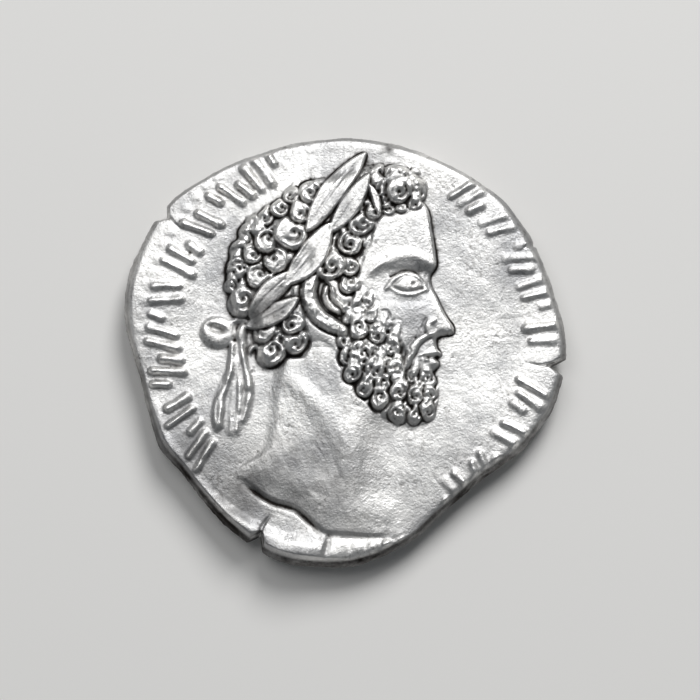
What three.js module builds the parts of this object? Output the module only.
// A worn silver denarius, lying on its reverse with the portrait side up.
// Millimetres, +Z up. The origin is on the resting plane, under the middle of the coin, and the
// portrait stands upright along +Y. The coin is one struck piece, so it is one closed mesh: two
// struck faces, each a height above its own field, and the hammered edge between them.
import * as THREE from 'three';

// The blank disc.
const flanDiameter = 17.3; // mean, the outline wanders round it
const fieldThickness = 1.2; // from one bare field to the other
const edgeBulge = 0.17; // how far the middle of the edge stands out past the lips
const lipDrop = 0.13; // how far each lip falls away from its field
const lipWidth = 0.34; // how far in from the lip the field starts to fall
const fieldWave = 0.03; // unevenness of the hammered fields
const waveLength = 6.28; // from one swell of a field to the next
const turnUp = 0.3; // the flan turns up by this at the rim below the bust
const lumpRise = 0.14; // the swelling beside the lower split

// The splits in the edge.
const splitReach = 0.62; // how far in the deepest split bites
const splitHalfWidth = 0.36; // half of the widest split at the rim
const crackReach = 1.5; // how far in from the rim the longest crack runs on
const crackDrop = 0.16; // depth of the deepest crack
const crackHalfWidth = 0.13;

// Heights of the obverse carving over its field.
const bustRelief = 0.3;
const headRelief = 0.44;
const hairRelief = 0.5;
const curlRelief = 0.19; // each curl over the hair that it grows from
const leafRelief = 0.22; // the wreath over the hair
const leafGroove = 0.16; // cut into the hair round each leaf
const wornHeight = 0.66; // the tallest parts are rubbed down to this
const ribbonRelief = 0.26;
const legendRelief = 0.2;
const reliefWall = 0.12; // plan width of the slope at the foot of the carving

// Sizes of the obverse design.
const headHeight = 9.3; // crown to chin
const portraitX = 0; // middle of the portrait's grid from the middle of the flan
const portraitY = 0;
const headTiltDegrees = 2; // the face looks up by this
const dieX = 0.35; // the die struck off centre by this
const dieY = 0.55;
const legendRadius = 7.55; // middle of the strokes from the middle of the die
const strokeHeight = 1.2; // radial height of one group of strokes
const strokeWidth = 0.38;
const groupPitch = 1.62; // along the ring, from one group of strokes to the next

// Sizes of the reverse design.
const reverseRelief = 0.3; // its highest flats carry the coin
const wearDepth = 0.12; // worn off the tops, which leaves the flats
const hornHeight = 8.8;
const hornMouthRadius = 1.5;
const reverseLegendRadius = 6.7;
const reverseLegendShare = 0.8; // of the relief that the strokes keep

// Fineness of the faceted skin.
const rimSteps = 150;
const rimSamples = 720; // radii held of the outline, read between when it is drawn
const sampleCells = 380; // samples across the disc that the facets are chosen from
const obverseVertices = 3000;
const reverseVertices = 1500;

// The flan's outline: angle in degrees from +X, and radius as a share of the mean.
const flanOutline = [
  [0, 1.036], [8, 1.026], [16, 1.017], [27, 1.024], [42, 1.036], [52, 1.027], [63, 1.018],
  [76, 1.016], [90, 1.021], [105, 1.023], [112, 1.028], [120, 1.045], [130, 1.066], [139, 1.09],
  [148, 1.088], [158, 1.08], [166, 1.064], [173, 1.035], [180, 0.997], [187, 0.968],
  [200, 0.963], [208, 0.972], [215, 0.953], [226, 0.958], [236, 0.985], [245, 1.008],
  [253, 1.026], [263, 1.016], [272, 1.003], [280, 0.975], [290, 0.935], [299, 0.89],
  [308, 0.874], [315, 0.872], [324, 0.907], [330, 0.942], [337, 0.972], [344, 1.006],
  [352, 1.024],
];
// Each split's angle, and its bite, width, crack length and crack depth as shares of the largest.
const edgeSplits = [
  { angle: 355.6, bite: 1, wide: 0.94, long: 1, deep: 0.62 },
  { angle: 245.6, bite: 0.8, wide: 1, long: 0.9, deep: 1 },
  { angle: 143, bite: 0.55, wide: 1, long: 0.67, deep: 0.5 },
  { angle: 29.6, bite: 0.16, wide: 0.39, long: 0.33, deep: 0.38 },
].map(({ angle, bite, wide, long, deep }) => ({
  angle,
  depth: bite * splitReach,
  half: wide * splitHalfWidth,
  crack: long * crackReach,
  drop: deep * crackDrop,
}));

const fullTurn = 360;
const radians = (2 * Math.PI) / fullTurn;
const clamp = (t) => Math.min(1, Math.max(0, t));
const ease = (t) => clamp(t) ** 2 * (3 - 2 * clamp(t));
const dome = (t) => Math.sqrt(1 - (1 - clamp(t)) ** 2);
const bell = (t) => Math.exp(-t * t);

// The portrait is drawn on a grid of 93 units from crown to chin, with x to the right.
const unit = headHeight / 93;
const onGrid = ([x, y]) => new THREE.Vector3(portraitX + x * unit, portraitY + y * unit, 0);

// A closed smooth outline. depth() is the distance in from it, negative outside.
class Outline {
  constructor(points, steps = 3) {
    const curve = new THREE.CatmullRomCurve3(points, true, 'centripetal');
    this.ring = curve.getPoints(points.length * steps).slice(0, -1);
    this.box = new THREE.Box3().setFromPoints(this.ring);
  }

  depth(x, y) {
    const far = this.box.distanceToPoint(new THREE.Vector3(x, y, 0));
    if (far > reliefWall) return -far;
    let nearest = Infinity;
    let inside = false;
    let a = this.ring[this.ring.length - 1];
    for (const b of this.ring) {
      nearest = Math.min(nearest, segmentDistance(x, y, a, b).distance);
      const crosses = a.y > y !== b.y > y;
      if (crosses && x < ((b.x - a.x) * (y - a.y)) / (b.y - a.y) + a.x) inside = !inside;
      a = b;
    }
    return inside ? nearest : -nearest;
  }
}

// A smooth open line whose half width runs through the third value of its points.
class Strand {
  constructor(points, steps = 5) {
    const curve = new THREE.CatmullRomCurve3(points, false, 'centripetal');
    this.line = curve.getPoints((points.length - 1) * steps);
    this.reach = Math.max(...this.line.map((p) => p.z));
    this.box = new THREE.Box3().setFromPoints(this.line);
  }

  // How near the middle line the place is: 1 on it, 0 at the half width and beyond.
  nearness(x, y) {
    if (x < this.box.min.x - this.reach || x > this.box.max.x + this.reach) return 0;
    if (y < this.box.min.y - this.reach || y > this.box.max.y + this.reach) return 0;
    let most = 0;
    for (let i = 1; i < this.line.length; i += 1) {
      const [a, b] = [this.line[i - 1], this.line[i]];
      const { distance, along } = segmentDistance(x, y, a, b);
      most = Math.max(most, 1 - distance / (a.z + (b.z - a.z) * along));
    }
    return most;
  }
}

function segmentDistance(x, y, a, b) {
  const [dx, dy] = [b.x - a.x, b.y - a.y];
  const along = clamp(((x - a.x) * dx + (y - a.y) * dy) / (dx * dx + dy * dy || 1));
  return { distance: Math.hypot(x - a.x - dx * along, y - a.y - dy * along), along };
}

const gridOutline = (points) => new Outline(points.map(onGrid));
const gridStrand = (points) => new Strand(points.map((p) => onGrid(p).setZ(p[2] * unit)));

// The bust: neck and shoulder, cut off below in a double curve.
const bustOutline = gridOutline([
  [-26, 10], [-28, -2], [-29.5, -9], [-31, -18], [-32, -30], [-35, -41], [-44, -49], [-44, -52],
  [-39, -54], [-34, -58], [-29, -61], [-20, -64], [-14, -69], [-8, -74], [2, -75], [12, -75.5],
  [21, -74], [26, -67], [26, -56], [24, -46], [25, -36], [28, -28], [20, -10], [8, 8], [0, 20],
  [-16, 22],
]);
const bustMuscles = [
  [[-22, -12, 4], [-14, -20, 5], [-7, -28, 6], [0, -40, 6], [4, -54, 5]],
  [[-40, -50, 4], [-22, -55, 6], [0, -62, 7], [18, -66, 5]],
].map(gridStrand);
const throatPit = onGrid([12, -33]).setZ(7 * unit);

function bust(x, y) {
  const depth = bustOutline.depth(x, y);
  if (depth <= 0) return 0;
  const muscle = Math.max(...bustMuscles.map((m) => ease(m.nearness(x, y))));
  const throat = bell(Math.hypot(x - throatPit.x, y - throatPit.y) / throatPit.z);
  const body = 0.5 * ease(depth / reliefWall) + 0.42 * dome(depth / (24 * unit));
  // The bust sinks into the field in front of the throat and towards the tip of the shoulder.
  const forward = ease((x - portraitX + 2 * unit) / (27 * unit));
  const tip = 0.45 + 0.55 * ease((x + y - portraitX - portraitY + 96 * unit) / (16 * unit));
  return bustRelief * tip * (body * (1 - forward) + 0.26 * muscle - 0.14 * throat);
}

// The face follows drawing-book proportions: brow, nose and chin stand a third apart below the
// hairline, and the skull is three and a half thirds tall. Its grid runs forward and up from the
// chin, in thirds.
const third = headHeight / 3.5;
const chin = onGrid([33.5, -21]);
const tilt = headTiltDegrees * radians;

function fromChin(forward, up, size = 0) {
  const [f, u] = [forward * third, up * third];
  const turned = new THREE.Vector3(
    chin.x + f * Math.cos(tilt) + u * Math.sin(tilt),
    chin.y - f * Math.sin(tilt) + u * Math.cos(tilt),
    size * third,
  );
  return turned;
}

const headOutline = new Outline(
  [
    [-0.1, 3.0], [0.0, 2.6], [0.06, 2.3], [0.08, 2.08], [0.0, 1.87], [0.12, 1.56], [0.26, 1.3],
    [0.37, 1.14], [0.37, 1.04], [0.24, 0.99], [0.12, 0.96], [0.13, 0.82], [0.19, 0.74],
    [0.18, 0.69], [0.11, 0.66], [0.16, 0.6], [0.15, 0.52], [0.07, 0.42], [0.11, 0.24],
    [0.08, 0.06], [-0.15, -0.02], [-0.7, 0.08], [-1.25, 0.36], [-1.6, 0.8], [-2.1, 0.75],
    [-2.6, 1.05], [-2.85, 1.6], [-2.85, 2.2], [-2.55, 2.8], [-1.9, 3.25], [-1.1, 3.42],
    [-0.5, 3.3],
  ].map(([forward, up]) => fromChin(forward, up)),
);

// Soft swellings and hollows of the face: forward, up, half width, half height, and strength.
const faceForms = [
  [-0.5, 1.25, 0.42, 0.36, 0.15], // cheekbone
  [-0.3, 2.5, 0.5, 0.4, 0.05], // forehead
  [-0.04, 1.78, 0.17, 0.2, -0.26], // hollow between brow and nose
  [-0.66, 1.74, 0.24, 0.24, -0.2], // outer corner of the eye socket
  [-0.27, 1.0, 0.13, 0.26, -0.09], // crease beside the nose
  [0.05, 0.83, 0.07, 0.09, -0.06], // groove of the upper lip
];
const faceLines = [
  { strand: [[0.05, 2.07, 0.07], [-0.3, 2.2, 0.11], [-0.75, 2.08, 0.1], [-0.95, 1.9, 0.05]], lift: 0.15 },
  { strand: [[-0.1, 1.72, 0.05], [-0.36, 1.91, 0.07], [-0.68, 1.69, 0.05]], lift: 0.16 },
  { strand: [[-0.12, 1.68, 0.04], [-0.38, 1.61, 0.05], [-0.64, 1.69, 0.04]], lift: 0.11 },
  { strand: [[0.04, 1.78, 0.07], [0.14, 1.5, 0.08], [0.27, 1.18, 0.1]], lift: 0.1 },
  { strand: [[0.24, 1.13, 0.09], [0.06, 1.12, 0.12], [-0.03, 1.06, 0.08]], lift: 0.16 },
  { strand: [[0.16, 0.99, 0.04], [0.04, 1.0, 0.05]], lift: -0.16 },
  { strand: [[0.14, 0.73, 0.07], [0.0, 0.71, 0.06], [-0.12, 0.67, 0.04]], lift: 0.12 },
  { strand: [[0.12, 0.57, 0.08], [0.0, 0.59, 0.07], [-0.1, 0.63, 0.04]], lift: 0.12 },
  { strand: [[0.12, 0.655, 0.035], [-0.14, 0.65, 0.04]], lift: -0.12 },
].map(({ strand, lift }) => ({ strand: new Strand(strand.map((p) => fromChin(...p))), lift }));
const eyeball = fromChin(-0.36, 1.74, 0.2);

function head(x, y) {
  const depth = headOutline.depth(x, y);
  if (depth <= 0) return 0;
  let form = 0.42 * ease(depth / reliefWall) + 0.58 * dome(depth / (1.05 * third));
  for (const [forward, up, wide, tall, strength] of faceForms) {
    const at = fromChin(forward, up);
    form += strength * bell(Math.hypot((x - at.x) / (wide * third), (y - at.y) / (tall * third)));
  }
  for (const { strand, lift } of faceLines) form += lift * ease(strand.nearness(x, y) * 1.4);
  const fromEye = Math.hypot(x - eyeball.x, (y - eyeball.y) * 1.35) / eyeball.z;
  form += 0.2 * dome(1 - fromEye) - 0.1 * bell(fromEye / 0.3);
  return headRelief * form * ease(depth / (0.5 * reliefWall));
}

// Hair and beard: a rolled mass each, with curls that grow from it. Each curl is x, y and radius,
// and the degrees towards which its hole lies off its middle.
const hairOutline = gridOutline([
  [30, 58], [32.5, 63], [31.5, 69], [27.5, 73.5], [20, 76], [11, 76], [3, 73.5], [-6, 71],
  [-16, 69], [-24, 64], [-32, 59], [-41, 52], [-46, 43], [-48, 33], [-47, 22], [-44, 14],
  [-37, 11], [-37, 3], [-34, -5], [-28, -8], [-22, -4], [-16, -4], [-13, 3], [-16, 11],
  [-20, 18], [-19, 28], [-12, 31], [-5, 28], [0, 21], [5, 22], [7, 33], [11, 42], [13, 50],
  [18, 56],
]);
const beardOutline = gridOutline([
  [1, 11], [9, 12], [16, 9], [21, 5], [25, 0], [27, -6], [33, -9], [37, -13], [37, -22],
  [34, -29], [27, -31], [19, -29], [12, -26], [6, -20], [0, -12], [-4, -4], [-2, 4],
]);
const curls = [
  [-32, 54, 3.6, 250], [-38.5, 48, 4.4, 290], [-43.2, 40.5, 3.9, 300], [-43.6, 32.5, 4.8, 0],
  [-46, 26, 3.2, 300], [-42, 19, 5.7, 50], [-28, 28, 3.6, 300], [-35.2, 29.5, 5, 10],
  [-37.5, 38.5, 4, 300], [-27.6, 36, 5.2, 170], [-31.8, 43.8, 4.8, 40], [-26.4, 57.6, 3.9, 0],
  [-22, 47, 6.3, 0], [-21.5, 63.3, 3.8, 210], [-18, 56, 4.7, 280], [-14, 64.6, 4.7, 270],
  [-35.5, -0.5, 3.2, 200], [-25.5, 4.5, 3.4, 260], [-20, 3, 5.2, 285], [-30, -2, 5.8, 80],
  [-32.5, 7, 4.8, 90], [-20.8, 10, 4.6, 230], [2, 26, 4, 60], [1.8, 33.5, 3.8, 0],
  [-6.5, 34.5, 6.2, 330], [-9.5, 41.5, 3.6, 300], [2.2, 43.5, 5.2, 275], [6.4, 51.5, 5.4, 340],
  [4, 58.5, 3.4, 300], [11.8, 56, 3.4, 320], [17, 58, 3, 300], [22, 60.5, 3.2, 300],
  [13, 68.5, 3, 200], [18.6, 71.2, 3.1, 250], [16.4, 63.6, 3.4, 230], [22.6, 66.4, 3.3, 290],
  [23.4, 71.2, 3.4, 240], [27.4, 61.4, 3, 280], [29.2, 67.2, 3.4, 330], [26.2, 73, 2.6, 330],
  [19.6, 75, 2.6, 300], [12.6, 75, 2.8, 260], [5.4, 17.8, 3.6, 235], [10.6, 13.2, 2.6, 260],
  [1.4, 12.4, 2.6, 200], [-0.5, 4, 3, 260], [18.5, 1.8, 3.2, 300], [13.2, -0.2, 3.2, 280],
  [13, 6, 3.4, 300], [5.5, 7.8, 4.6, 60], [1, -3, 4.2, 300], [6.6, -3.6, 4.6, 70],
  [18, -4.6, 3.2, 300], [3.2, -9.8, 3.6, 260], [12.6, -8.4, 4.2, 280], [20.6, -9.6, 3.6, 300],
  [27.4, -11, 3.6, 280], [33.2, -11.5, 3, 290], [8.2, -16, 4, 200], [15, -14.8, 3.4, 90],
  [21.8, -16.8, 4, 270], [14, -20.8, 4.6, 60], [28.6, -18.6, 3.6, 260], [34.2, -18, 3.2, 280],
  [21, -27, 4.4, 100], [28, -27.6, 3.6, 90], [33.2, -25, 3.2, 270],
].map(([x, y, radius, degrees]) => {
  const centre = onGrid([x, y]);
  const towards = new THREE.Vector3(Math.cos(degrees * radians), Math.sin(degrees * radians), 0);
  const hole = centre.clone().addScaledVector(towards, 0.27 * radius * unit);
  return { centre, hole, radius: radius * unit };
});
// The moustache, the lock that hooks under the curl before the ear, and the front hair.
const whiskers = [
  [[36.4, 6.4, 0.9], [32.4, 4.8, 1.6], [28.6, 1.6, 1.9], [26, -3, 1.8], [24.6, -9, 1.2]],
  [[-5.6, 24, 1.4], [-5, 19, 2.2], [-1, 15.6, 2.3], [4.6, 15, 1.6]],
  [[7, 72, 1.6], [9.2, 67, 2.3], [8.4, 62.5, 2.1], [10.4, 58, 1.8]],
].map(gridStrand);

// Each curl is a round lump with a drilled hole.
function curl({ centre, hole, radius }, x, y) {
  const [dx, dy] = [(x - centre.x) / radius, (y - centre.y) / radius];
  if (Math.abs(dx) >= 1 || Math.abs(dy) >= 1) return 0;
  const bore = Math.hypot(x - hole.x, y - hole.y) / radius;
  return dome(1.15 * (1 - Math.hypot(dx, dy))) - 0.85 * bell(bore / 0.25);
}

function hair(x, y) {
  const hairDepth = hairOutline.depth(x, y);
  const beardDepth = beardOutline.depth(x, y);
  const mass = (depth, width) => (depth > 0 ? 0.4 * ease(depth / reliefWall) + 0.6 * dome(depth / width) : 0);
  const base = Math.max(
    hairRelief * mass(hairDepth, 18 * unit),
    0.92 * headRelief * mass(beardDepth, 13 * unit),
  );
  const lump = Math.max(...curls.map((c) => curl(c, x, y)));
  const lock = Math.max(...whiskers.map((w) => dome(w.nearness(x, y))));
  const growth = Math.max(lump, 0.7 * lock);
  const gap = 0.3 * (1 - ease(4 * growth));
  return Math.max(0, base - curlRelief * gap) + curlRelief * growth;
}

// The ear: a rim that runs down into the lobe, round a hollow.
const earRim = gridStrand([
  [-10.5, 32, 2.4], [-14.2, 27, 3.2], [-14.4, 20, 3.4], [-11, 13.6, 3.3], [-5.8, 9.8, 3.2],
  [-0.8, 7.4, 2.4],
]);
const earInner = gridStrand([[-7.6, 25, 1], [-8, 20.5, 1.3], [-5.6, 16.8, 1.4], [-2.6, 14.8, 1]]);
const earHollow = gridOutline([
  [-9, 29], [-12, 25], [-12, 18], [-7, 12.5], [-2, 10.5], [1, 13], [-1, 17], [-4, 21], [-6, 26],
]);

// The hollow is sunk into what carries the ear, and the rim lies over it.
function ear(carried, x, y) {
  const rim = Math.max(ease(1.7 * earRim.nearness(x, y)), 0.4 * dome(earInner.nearness(x, y)));
  if (rim > 0) return headRelief * (0.66 + 0.62 * rim);
  const sunk = ease(earHollow.depth(x, y) / reliefWall);
  return carried - (carried - 0.52 * headRelief) * sunk;
}

// The wreath: pointed leaves, stem end first, then the tip and the width. A leaf is above 0 where
// it stands, and below 0 in the groove beside it.
const leaves = [
  [-40, 9, -18.5, 20.5, 8.8], [-38.5, 12.5, -19.5, 31.5, 9], [-23.5, 26, -5.8, 51, 11.6],
  [-15.5, 47.5, 8.5, 81, 10.4], [-6, 47, 9.8, 71.5, 8.6], [10, 67, 14, 54, 3.6],
].map(([x, y, tipX, tipY, width]) => ({ stem: onGrid([x, y]), tip: onGrid([tipX, tipY]), width: width * unit }));

function leaf({ stem, tip, width }, x, y) {
  const length = stem.distanceTo(tip);
  const [ax, ay] = [(tip.x - stem.x) / length, (tip.y - stem.y) / length];
  const along = ((x - stem.x) * ax + (y - stem.y) * ay) / length;
  if (along <= 0 || along >= 1) return 0;
  const half = 0.5 * width * Math.sin(Math.PI * along ** 0.95) ** 0.62;
  const across = Math.abs((y - stem.y) * ax - (x - stem.x) * ay) / half;
  if (across >= 1) return -ease((1.35 - across) / 0.3);
  return 0.6 + 0.4 * dome(1 - across) - 0.26 * bell(across / 0.12);
}

// Ribbons behind the neck: a bow, its knot and two ends that hang in folds.
const bow = onGrid([-52, 6.5]);
const bowRadius = 6.2 * unit;
const ribbons = [
  [[-47, 10, 1.5], [-43, 12, 2], [-38, 10, 1.8]],
  [[-41.6, 9.5, 1.4], [-43, 6, 2.1], [-41.6, 2, 1.4]],
  [[-45.2, 2, 1.3], [-46, -6, 1.9], [-48, -14, 1.8]],
  [[-48.6, -14, 1.5], [-52.2, -20, 1.7], [-52.6, -27, 1.6], [-50.8, -32.5, 1.5]],
  [[-48.4, -15, 1.3], [-49.4, -21, 1.9], [-49.8, -27, 1.9], [-50.2, -31.5, 1.3]],
  [[-42, 2, 1.3], [-40.2, -8, 2.1], [-38.9, -16, 2.4], [-39.4, -25, 2.3], [-41.4, -34, 1.7]],
  [[-44.4, -8, 1.1], [-43.6, -18, 1.8], [-43.4, -27, 2], [-43.6, -37, 1.6]],
  [[-46.4, -14, 0.9], [-46.6, -22, 1.4], [-46.4, -31, 1.6], [-45.4, -38, 1.2]],
].map(gridStrand);

function ribbon(x, y) {
  const [dx, dy] = [(x - bow.x) / bowRadius, (y - bow.y) / bowRadius];
  const slit = bell(Math.hypot(dx / 0.55, (dy - 0.25) / 0.16));
  const loop = dome(1 - Math.hypot(dx, dy)) * (1 - 0.85 * slit);
  const band = Math.max(...ribbons.map((r) => dome(r.nearness(x, y))));
  return ribbonRelief * Math.max(loop, band);
}

// Strokes that stand for the legend. Each group holds leaning bars and short dashes, in shares of
// the stroke height: along the ring and out from it, for both ends of each stroke.
const strokeGroups = [
  [[-0.44, -0.46, -0.28, 0.5], [-0.05, -0.5, 0.11, 0.46], [0.32, -0.46, 0.48, 0.5]],
  [[-0.42, -0.5, -0.4, 0.5], [0, 0.02, 0.06, 0.5], [0.42, -0.5, 0.38, -0.04]],
  [[-0.38, -0.5, -0.46, -0.06], [-0.02, -0.48, 0.02, 0.5], [0.4, 0.04, 0.46, 0.5]],
  [[-0.32, -0.48, -0.46, 0.48], [0.12, -0.5, -0.02, 0.46], [0.46, -0.36, 0.5, -0.2]],
];

// A row of groups runs from one angle to another round the middle of the die.
function strokeRow({ x, y, radius, from, to, strength }) {
  const step = groupPitch / radius / radians;
  const count = Math.max(1, Math.round(Math.abs(from - to) / step));
  const strokes = [];
  for (let i = 0; i < count; i += 1) {
    const angle = (from - (i + 0.5) * step * Math.sign(from - to)) * radians;
    const place = (along, out) => {
      const turn = angle - (along * strokeHeight) / radius;
      const far = radius + out * strokeHeight;
      return new THREE.Vector3(x + far * Math.cos(turn), y + far * Math.sin(turn), 0.5 * strokeWidth);
    };
    for (const [a, b, c, d] of strokeGroups[i % strokeGroups.length]) {
      strokes.push({ strand: new Strand([place(a, b), place(c, d)], 1), strength });
    }
  }
  return strokes;
}

function raisedStrokes(strokes, x, y) {
  let most = 0;
  for (const { strand, strength } of strokes) {
    most = Math.max(most, strength * ease(strand.nearness(x, y) * 1.5));
  }
  return most;
}

const legend = [
  { from: 222, to: 111, strength: 1 },
  { from: 56, to: -10, strength: 0.8 },
  { from: -14, to: -64, strength: 0.75 },
].flatMap((row) => strokeRow({ x: dieX, y: dieY, radius: legendRadius, ...row }));

function obverse(x, y) {
  const grown = hair(x, y);
  const carried = Math.max(ear(Math.max(bust(x, y), head(x, y)), x, y), grown);
  const near = leaves.map((l) => leaf(l, x, y));
  const [wreath, groove] = [Math.max(...near), Math.min(...near)];
  const bed = 0.92 * hairRelief * ease(carried / headRelief);
  const beside = Math.max(0, carried + leafGroove * groove);
  const high = Math.min(wreath > 0 ? bed + leafRelief * wreath : beside, wornHeight);
  return Math.max(high, ribbon(x, y), legendRelief * raisedStrokes(legend, x, y));
}

// The reverse: a horn of plenty with fruit between two ears of grain, drawn on its own grid of 76
// units from the bend of the horn to the top of the fruit.
const hornUnit = hornHeight / 76;
const hornPoint = ([x, y, half = 0]) => new THREE.Vector3(x * hornUnit, y * hornUnit, half * hornUnit);
const mouthHalf = hornMouthRadius / hornUnit;
const horn = new Strand(
  [
    [5, 14, mouthHalf], [4, 2, 0.92 * mouthHalf], [0, -12, 0.74 * mouthHalf],
    [-9, -23, 0.54 * mouthHalf], [-20, -27, 0.36 * mouthHalf], [-29, -23, 0.22 * mouthHalf],
    [-31, -14, 0.12 * mouthHalf],
  ].map(hornPoint),
  6,
);
const hornMouth = new Strand([[-9, 17, 2.4], [5, 14.5, 2.8], [19, 17, 2.4]].map(hornPoint));
const hornTurns = [[-10, 8, 19, 3], [-7, -3, 14, -9], [-14, -16, 3, -24]].map(
  ([x, y, endX, endY]) => new Strand([[x, y, 1.2], [endX, endY, 1.2]].map(hornPoint), 1),
);
const fruit = [
  [5, 24, 5.6], [-5, 23.5, 5], [15, 23.5, 5], [0, 31, 5], [10, 31, 5], [5, 38, 4.8],
].map(hornPoint);
const grainStems = [
  [[-20, -6, 1], [-23, 8, 1.1], [-24, 26, 1.1]],
  [[22, -26, 1], [29, -6, 1.1], [30, 18, 1.1]],
].map((points) => new Strand(points.map(hornPoint), 4));
const grainSide = 2.7 * hornUnit;
const grains = grainStems.flatMap(({ line }) =>
  line.slice(-5).flatMap((at) => [-grainSide, grainSide].map((x) => new THREE.Vector3(at.x + x, at.y, grainSide))),
);
const reverseLegend = strokeRow({
  x: 0, y: 0, radius: reverseLegendRadius, from: 248, to: -68, strength: reverseLegendShare,
});

function lumps(list, x, y) {
  let most = 0;
  for (const lump of list) {
    const out = Math.hypot(x - lump.x, y - lump.y) / lump.z;
    if (out < 1) most = Math.max(most, dome(1 - out));
  }
  return most;
}

function reverse(x, y) {
  const turn = Math.max(...hornTurns.map((t) => ease(2 * t.nearness(x, y))));
  const device = Math.max(
    dome(horn.nearness(x, y)) * (1 - 0.6 * turn),
    1.2 * dome(hornMouth.nearness(x, y)),
    lumps(fruit, x, y),
    lumps(grains, x, y),
    0.6 * Math.max(...grainStems.map((stem) => dome(stem.nearness(x, y)))),
  );
  const full = reverseRelief + wearDepth;
  return Math.max(Math.min(reverseRelief, full * device), reverseRelief * raisedStrokes(reverseLegend, x, y));
}

// The flan's outline and what the splits take out of it.
const meanRadius = flanDiameter / 2;
const outlineCurve = new THREE.CatmullRomCurve3(
  flanOutline.map(([angle, share]) => {
    const radius = share * meanRadius;
    return new THREE.Vector3(radius * Math.cos(angle * radians), radius * Math.sin(angle * radians), 0);
  }),
  true,
  'centripetal',
);
const outlineRing = outlineCurve.getPoints(flanOutline.length * 6).slice(0, -1);
const outlineAngles = outlineRing.map((p) => (Math.atan2(p.y, p.x) / radians + fullTurn) % fullTurn);

function smoothRadius(degrees) {
  const wanted = (degrees + fullTurn) % fullTurn;
  const count = outlineRing.length;
  for (let i = 0; i < count; i += 1) {
    const from = outlineAngles[i];
    const span = (outlineAngles[(i + 1) % count] - from + fullTurn) % fullTurn;
    const past = (wanted - from + fullTurn) % fullTurn;
    if (past <= span) {
      const t = past / span;
      return outlineRing[i].length() * (1 - t) + outlineRing[(i + 1) % count].length() * t;
    }
  }
  return meanRadius;
}

// Distance along the rim between an angle and a split.
const offAngle = (degrees, { angle }) =>
  Math.abs(((degrees - angle + 1.5 * fullTurn) % fullTurn) - 0.5 * fullTurn) * radians * meanRadius;

function splitDepth(degrees) {
  return Math.max(...edgeSplits.map((split) => split.depth * clamp(1 - offAngle(degrees, split) / split.half)));
}

function crackDepth(x, y, inward) {
  let most = 0;
  for (const { angle, crack, drop } of edgeSplits) {
    const [cos, sin] = [Math.cos(angle * radians), Math.sin(angle * radians)];
    if (x * cos + y * sin <= 0) continue;
    const off = Math.abs(y * cos - x * sin);
    most = Math.max(most, drop * ease(1 - off / crackHalfWidth) * ease(1.4 * (1 - inward / crack)));
  }
  return most;
}

const swing = (2 * Math.PI) / waveLength;

function wave(x, y) {
  const crossed = Math.sin(swing * (0.8 * x + 0.5 * y)) + Math.cos(swing * (0.55 * x - 0.9 * y));
  return fieldWave * crossed;
}

// Below the bust the flan turns up towards the rim, with a lump beside the split.
const turnUpDegrees = -122;
const lumpPlace = new THREE.Vector2(-0.22, -0.896).multiplyScalar(meanRadius);

function turnedUp(x, y) {
  const [off, out] = [Math.atan2(y, x) / radians - turnUpDegrees, Math.hypot(x, y) / meanRadius];
  const dx = (x - lumpPlace.x) / meanRadius;
  const dy = (y - lumpPlace.y) / meanRadius - 0.25 * dx;
  const lump = lumpRise * bell(Math.hypot(dx / 0.133, dy / 0.087));
  return turnUp * bell(off / 24) * ease((out - 0.717) / 0.231) + lump;
}

const obverseField = reverseRelief + fieldThickness;

// The rim is divided evenly, but for the corners and the bottom of each split.
const rimAngles = Array.from({ length: rimSteps }, (_, i) => (i / rimSteps) * fullTurn).filter((degrees) =>
  edgeSplits.every((split) => offAngle(degrees, split) > 1.3 * split.half),
);
for (const { angle, half } of edgeSplits) {
  const corner = half / meanRadius / radians;
  rimAngles.push(angle - corner, angle, angle + corner);
}
rimAngles.sort((a, b) => a - b);

// A place in the unit disc, carried to the flan at the height of the obverse or the reverse.
const outlineRadii = Array.from({ length: rimSamples }, (_, i) => smoothRadius((i / rimSamples) * fullTurn));
const roundRadius = (degrees) => {
  const place = (((degrees + fullTurn) % fullTurn) / fullTurn) * rimSamples;
  const low = Math.floor(place);
  const [from, to] = [outlineRadii[low % rimSamples], outlineRadii[(low + 1) % rimSamples]];
  return from * (1 - place + low) + to * (place - low);
};

function facePoint(u, v, isObverse) {
  const out = Math.hypot(u, v);
  const degrees = Math.atan2(v, u) / radians;
  const lip = roundRadius(degrees) - edgeBulge;
  const radius = out * lip - splitDepth(degrees) * out ** 14;
  const x = radius * Math.cos(degrees * radians);
  const y = radius * Math.sin(degrees * radians);
  const inward = (1 - out) * lip;
  const fall = lipDrop * (1 - dome(inward / lipWidth)) + crackDepth(x, y, inward);
  const kept = ease(inward / (0.6 * lipWidth));
  if (isObverse) {
    const field = obverseField + wave(x, y) + turnedUp(x, y);
    return new THREE.Vector3(x, y, field + kept * obverse(x, y) - fall);
  }
  // The reverse is seen from below, so its design is mirrored here.
  return new THREE.Vector3(x, y, reverseRelief - kept * reverse(-x, y) + fall);
}

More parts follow.
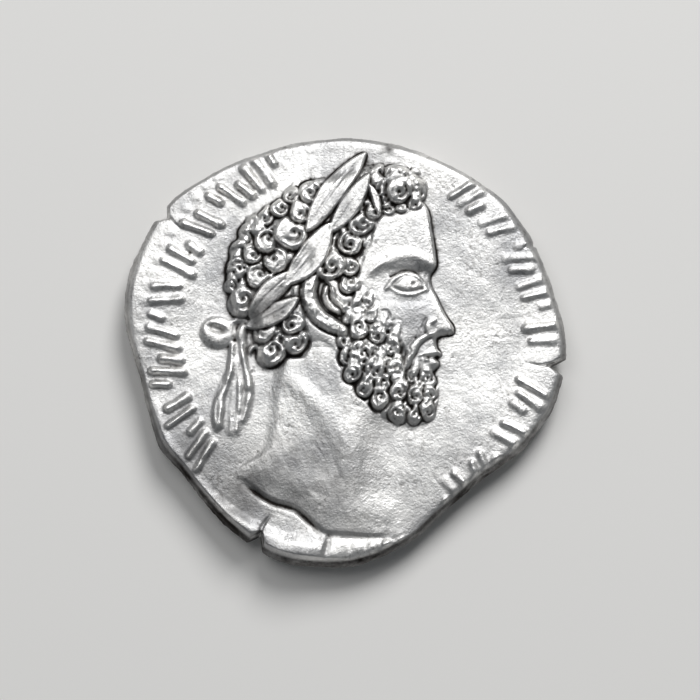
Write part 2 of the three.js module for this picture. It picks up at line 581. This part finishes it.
// The skin over a struck face. It starts as a fan over the rim and takes in, one by one, the
// sample that the facets miss by most, keeping the facets as even as they can be (Delaunay).
class Skin {
  constructor(isObverse, vertexBudget) {
    this.places = [];
    this.points = [];
    this.facets = [];
    this.sample(isObverse);
    this.addVertex(0, 0, facePoint(0, 0, isObverse));
    const count = rimAngles.length;
    for (const degrees of rimAngles) {
      const [u, v] = [Math.cos(degrees * radians), Math.sin(degrees * radians)];
      this.addVertex(u, v, facePoint(u, v, isObverse));
    }
    for (let i = 0; i < count; i += 1) {
      const after = (i + 1) % count;
      this.facets.push({ corners: [0, i + 1, after + 1], sides: [(i + count - 1) % count, -1, after] });
    }
    this.facets.forEach((_, index) => this.findWorst(index));
    while (this.points.length < vertexBudget && this.refineOnce());
  }

  addVertex(u, v, point) {
    this.places.push([u, v]);
    this.points.push(point);
    return this.points.length - 1;
  }

  // Samples on a square grid, each moved a little so that no three stand in line.
  sample(isObverse) {
    const cell = 2 / sampleCells;
    this.samples = [];
    for (let row = 0; row < sampleCells; row += 1) {
      const line = [];
      for (let column = 0; column < sampleCells; column += 1) {
        const shift = 0.18 * Math.sin(12.9898 * row + 78.233 * column);
        const lift = 0.18 * Math.sin(39.346 * row + 11.135 * column);
        const u = -1 + (column + 0.5 + shift) * cell;
        const v = -1 + (row + 0.5 + lift) * cell;
        const held = Math.hypot(u, v) < 0.985 && Math.hypot(u, v) > 2 * cell;
        line.push(held ? { u, v, point: facePoint(u, v, isObverse) } : null);
      }
      this.samples.push(line);
    }
  }

  // Finds the sample inside the facet that lies furthest above or below it.
  findWorst(index) {
    const facet = this.facets[index];
    const [a, b, c] = facet.corners.map((corner) => this.places[corner]);
    const [za, zb, zc] = facet.corners.map((corner) => this.points[corner].z);
    const area = (b[0] - a[0]) * (c[1] - a[1]) - (c[0] - a[0]) * (b[1] - a[1]);
    const cellOf = (t) => Math.floor(((t + 1) / 2) * sampleCells);
    const rows = [Math.min(a[1], b[1], c[1]), Math.max(a[1], b[1], c[1])].map(cellOf);
    const columns = [Math.min(a[0], b[0], c[0]), Math.max(a[0], b[0], c[0])].map(cellOf);
    facet.worst = null;
    facet.miss = 0;
    for (let row = Math.max(0, rows[0] - 1); row <= Math.min(sampleCells - 1, rows[1] + 1); row += 1) {
      for (let column = Math.max(0, columns[0] - 1); column <= Math.min(sampleCells - 1, columns[1] + 1); column += 1) {
        const sample = this.samples[row][column];
        if (!sample || sample.used) continue;
        const { u, v } = sample;
        const wa = ((b[0] - u) * (c[1] - v) - (c[0] - u) * (b[1] - v)) / area;
        const wb = ((c[0] - u) * (a[1] - v) - (a[0] - u) * (c[1] - v)) / area;
        const wc = 1 - wa - wb;
        if (wa < 0.001 || wb < 0.001 || wc < 0.001) continue;
        const miss = Math.abs(wa * za + wb * zb + wc * zc - sample.point.z);
        if (miss > facet.miss) {
          facet.worst = sample;
          facet.miss = miss;
        }
      }
    }
  }

  refineOnce() {
    let chosen = 0;
    this.facets.forEach((facet, index) => {
      if (facet.miss > this.facets[chosen].miss) chosen = index;
    });
    const { worst, corners, sides } = this.facets[chosen];
    if (!worst) return false;
    worst.used = true;
    const added = this.addVertex(worst.u, worst.v, worst.point);
    const [a, b, c] = corners;
    const [second, third_] = [this.facets.length, this.facets.length + 1];
    this.facets[chosen] = { corners: [a, b, added], sides: [sides[0], second, third_] };
    this.facets.push({ corners: [b, c, added], sides: [sides[1], third_, chosen] });
    this.facets.push({ corners: [c, a, added], sides: [sides[2], chosen, second] });
    this.relink(sides[1], chosen, second);
    this.relink(sides[2], chosen, third_);
    const changed = new Set([chosen, second, third_]);
    const doubtful = [[chosen, added], [second, added], [third_, added]];
    while (doubtful.length) {
      const [index, apex] = doubtful.pop();
      const beyond = this.flipIfBetter(index, apex);
      if (beyond >= 0) {
        changed.add(index).add(beyond);
        doubtful.push([index, apex], [beyond, apex]);
      }
    }
    changed.forEach((index) => this.findWorst(index));
    return true;
  }

  relink(index, from, to) {
    if (index < 0) return;
    const { sides } = this.facets[index];
    sides[sides.indexOf(from)] = to;
  }

  // Turns the side opposite the apex if the far corner lies inside the facet's circle.
  flipIfBetter(index, apex) {
    const facet = this.facets[index];
    const turn = (facet.corners.indexOf(apex) + 1) % 3;
    const beyond = facet.sides[turn];
    if (beyond < 0) return -1;
    const other = this.facets[beyond];
    const back = other.sides.indexOf(index);
    const [a, b, c] = [0, 1, 2].map((k) => facet.corners[(turn + k) % 3]);
    const d = other.corners[(back + 2) % 3];
    if (!this.insideCircle(a, b, c, d)) return -1;
    const [besideB, besideC] = [facet.sides[(turn + 1) % 3], facet.sides[(turn + 2) % 3]];
    const [besideA, besideD] = [other.sides[(back + 1) % 3], other.sides[(back + 2) % 3]];
    this.facets[index] = { corners: [c, a, d], sides: [besideC, besideA, beyond] };
    this.facets[beyond] = { corners: [d, b, c], sides: [besideD, besideB, index] };
    this.relink(besideA, beyond, index);
    this.relink(besideB, index, beyond);
    return beyond;
  }

  insideCircle(a, b, c, d) {
    const [dx, dy] = this.places[d];
    const [[ax, ay], [bx, by], [cx, cy]] = [a, b, c].map((corner) => {
      const [x, y] = this.places[corner];
      return [x - dx, y - dy];
    });
    const lift = (x, y) => x * x + y * y;
    const determinant =
      lift(ax, ay) * (bx * cy - cx * by) -
      lift(bx, by) * (ax * cy - cx * ay) +
      lift(cx, cy) * (ax * by - bx * ay);
    return determinant > 1e-14;
  }
}

// Rings of the hammered edge between the two lips, as heights from lip to lip and how much of
// the bulge each takes.
const edgeRings = [
  [0.24, 0.9],
  [0.7, 1],
];

function coinGeometry() {
  const top = new Skin(true, obverseVertices);
  const bottom = new Skin(false, reverseVertices);
  const vertices = [...top.points, ...bottom.points];
  const triangles = top.facets.map(({ corners }) => corners);
  const below = top.points.length;
  bottom.facets.forEach(({ corners: [a, b, c] }) => triangles.push([c + below, b + below, a + below]));

  const count = rimAngles.length;
  const upper = (i) => 1 + (i % count);
  const lower = (i) => below + 1 + (i % count);
  const rings = [upper];
  for (const [share, swell] of edgeRings) {
    const first = vertices.length;
    for (let i = 0; i < count; i += 1) {
      const [high, low] = [vertices[upper(i)], vertices[lower(i)]];
      const out = new THREE.Vector3(high.x, high.y, 0).normalize();
      const dent = 1 + 0.16 * Math.sin(i * 0.9) * Math.sin(i * 0.23 + 5 * share);
      vertices.push(high.clone().lerp(low, share).addScaledVector(out, swell * dent * edgeBulge));
    }
    rings.push((i) => first + (i % count));
  }
  rings.push(lower);
  for (let ring = 1; ring < rings.length; ring += 1) {
    const [over, under] = [rings[ring - 1], rings[ring]];
    for (let i = 0; i < count; i += 1) {
      triangles.push([over(i), under(i), under(i + 1)], [over(i), under(i + 1), over(i + 1)]);
    }
  }

  const geometry = new THREE.BufferGeometry();
  geometry.setAttribute('position', new THREE.Float32BufferAttribute(vertices.flatMap((p) => p.toArray()), 3));
  geometry.setIndex(triangles.flat());
  // The middle of the outline goes over the origin, and the worn flats rest on the plane.
  geometry.computeBoundingBox();
  const middle = geometry.boundingBox.getCenter(new THREE.Vector3());
  geometry.translate(-middle.x, -middle.y, -geometry.boundingBox.min.z);
  geometry.computeVertexNormals();
  return geometry;
}

const silver = new THREE.MeshStandardMaterial({ color: 0xb9b8b4, metalness: 0.95, roughness: 0.36, flatShading: true });
const coin = new THREE.Mesh(coinGeometry(), silver);
coin.name = 'coin';

const group = new THREE.Group();
group.add(coin);
export default group;
